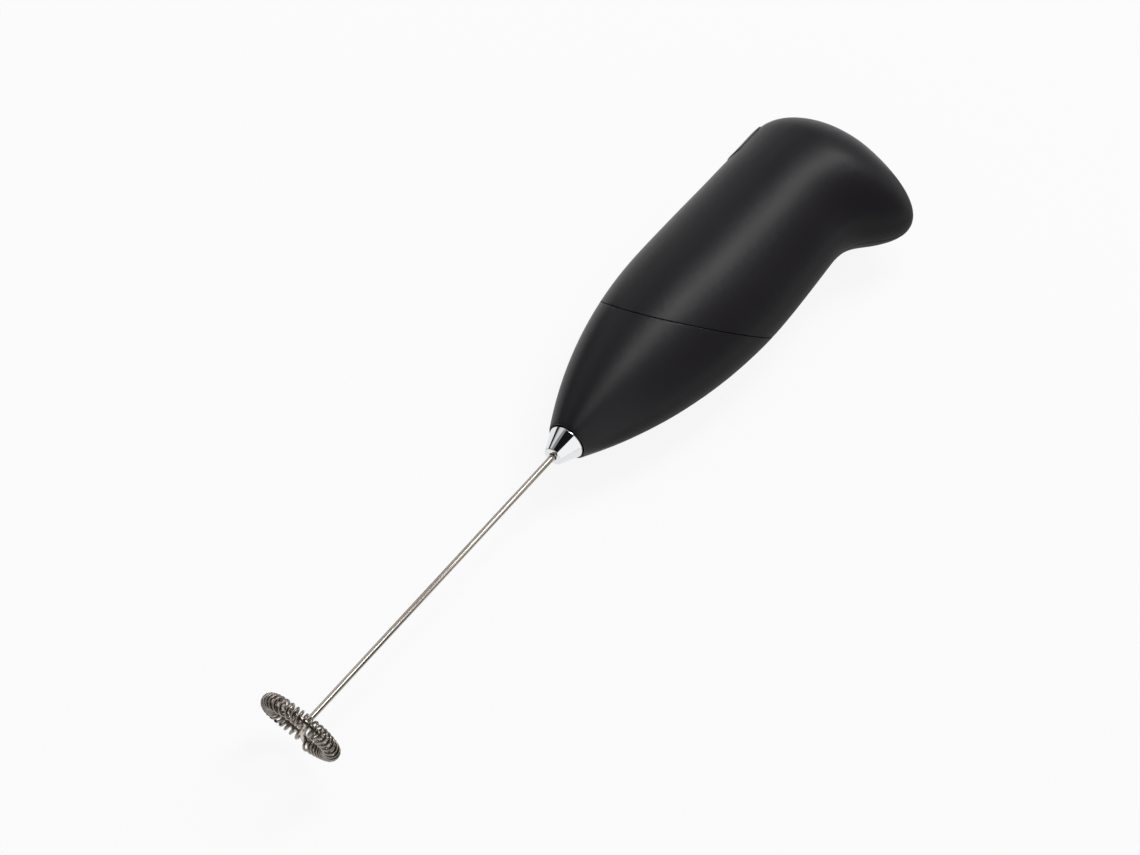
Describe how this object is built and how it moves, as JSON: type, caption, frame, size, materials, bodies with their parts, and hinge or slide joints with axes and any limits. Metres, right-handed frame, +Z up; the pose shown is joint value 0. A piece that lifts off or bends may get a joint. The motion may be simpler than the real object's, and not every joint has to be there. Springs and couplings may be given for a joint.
{
  "type": "milk frother",
  "caption": "Hand-held battery milk frother: black egg-section handle with a beak, bright nose cone, long steel shaft and coiled whisk ring.",
  "frame": {"origin": "on the surface that the frother lies on, under the middle of its box", "axes": "+X along the spin axis from the whisk to the head, +Y to the spine with the power button, -Y to the belly and its beak, +Z up to the battery cover"},
  "size_m": [0.2172, 0.0423, 0.0288],
  "materials": {
    "housing_black": "soft-touch matte moulded ABS",
    "nose_chrome": "bright chrome plate",
    "whisk_steel": "drawn stainless steel wire",
    "coil_steel": "coiled stainless spring wire",
    "motor_steel": "zinc-plated steel",
    "cap_nylon": "natural nylon",
    "bronze": "oil-filled sintered bronze",
    "ferrite": "sintered ferrite magnet",
    "lamination": "stacked silicon steel",
    "copper": "enamelled copper wire",
    "contact_nickel": "nickel-plated spring steel",
    "contact_bronze": "phosphor bronze strip",
    "sleeve_rubber": "moulded black rubber",
    "coupling_acetal": "white acetal",
    "tray_abs": "moulded black ABS",
    "cell_jacket": "plain printed jacket over a steel can",
    "button_abs": "moulded black ABS, fine grain",
    "lead_red": "red PVC insulation",
    "lead_white": "white PVC insulation",
    "lead_black": "black PVC insulation"
  },
  "bodies": {
    "handle": {"rear_shell": "housing_black", "front_shell": "housing_black", "nose_cone": "nose_chrome", "shaft_bush": "coupling_acetal", "motor_can": "motor_steel", "front_bearing": "bronze", "rear_bearing": "bronze", "motor_end_cap": "cap_nylon", "motor_magnets": "ferrite", "motor_terminals": "contact_bronze", "motor_sleeve": "sleeve_rubber", "battery_belly": "cell_jacket", "battery_spine": "cell_jacket", "battery_tray": "tray_abs", "tray_screws": "motor_steel", "positive_contact": "contact_nickel", "negative_contact": "contact_nickel", "bridge_contact": "contact_nickel", "battery_springs": "contact_nickel", "switch_housing": "cap_nylon", "switch_blades": "contact_bronze", "button_spring": "contact_nickel", "red_lead": "lead_red", "white_lead": "lead_white", "black_lead": "lead_black"},
    "cover": {"battery_cover": "housing_black"},
    "button": {"power_button": "button_abs", "contact_disc": "contact_bronze"},
    "drive": {"rotor_core": "lamination", "rotor_windings": "copper", "commutator": "contact_bronze", "motor_shaft": "motor_steel", "coupling_sleeve": "coupling_acetal", "whisk_wire": "whisk_steel", "whisk_coil": "coil_steel"}
  },
  "joints": [
    {"name": "whisk_spin", "type": "hinge", "parent": "handle", "child": "drive", "pos_m": [-0.0002, 0.00367, 0.0144], "axis": [1, 0, 0], "continuous": true},
    {"name": "button_press", "type": "slide", "parent": "handle", "child": "button", "axis": [0, -1, 0], "range_m": [0, 0.001], "stiffness_N_per_m": 900, "springref_m": -0.0006, "deforming": ["button_spring"]},
    {"name": "cover_lift", "type": "slide", "parent": "handle", "child": "cover", "axis": [0, 0, 1], "range_m": [0, 0.03]}
  ]
}
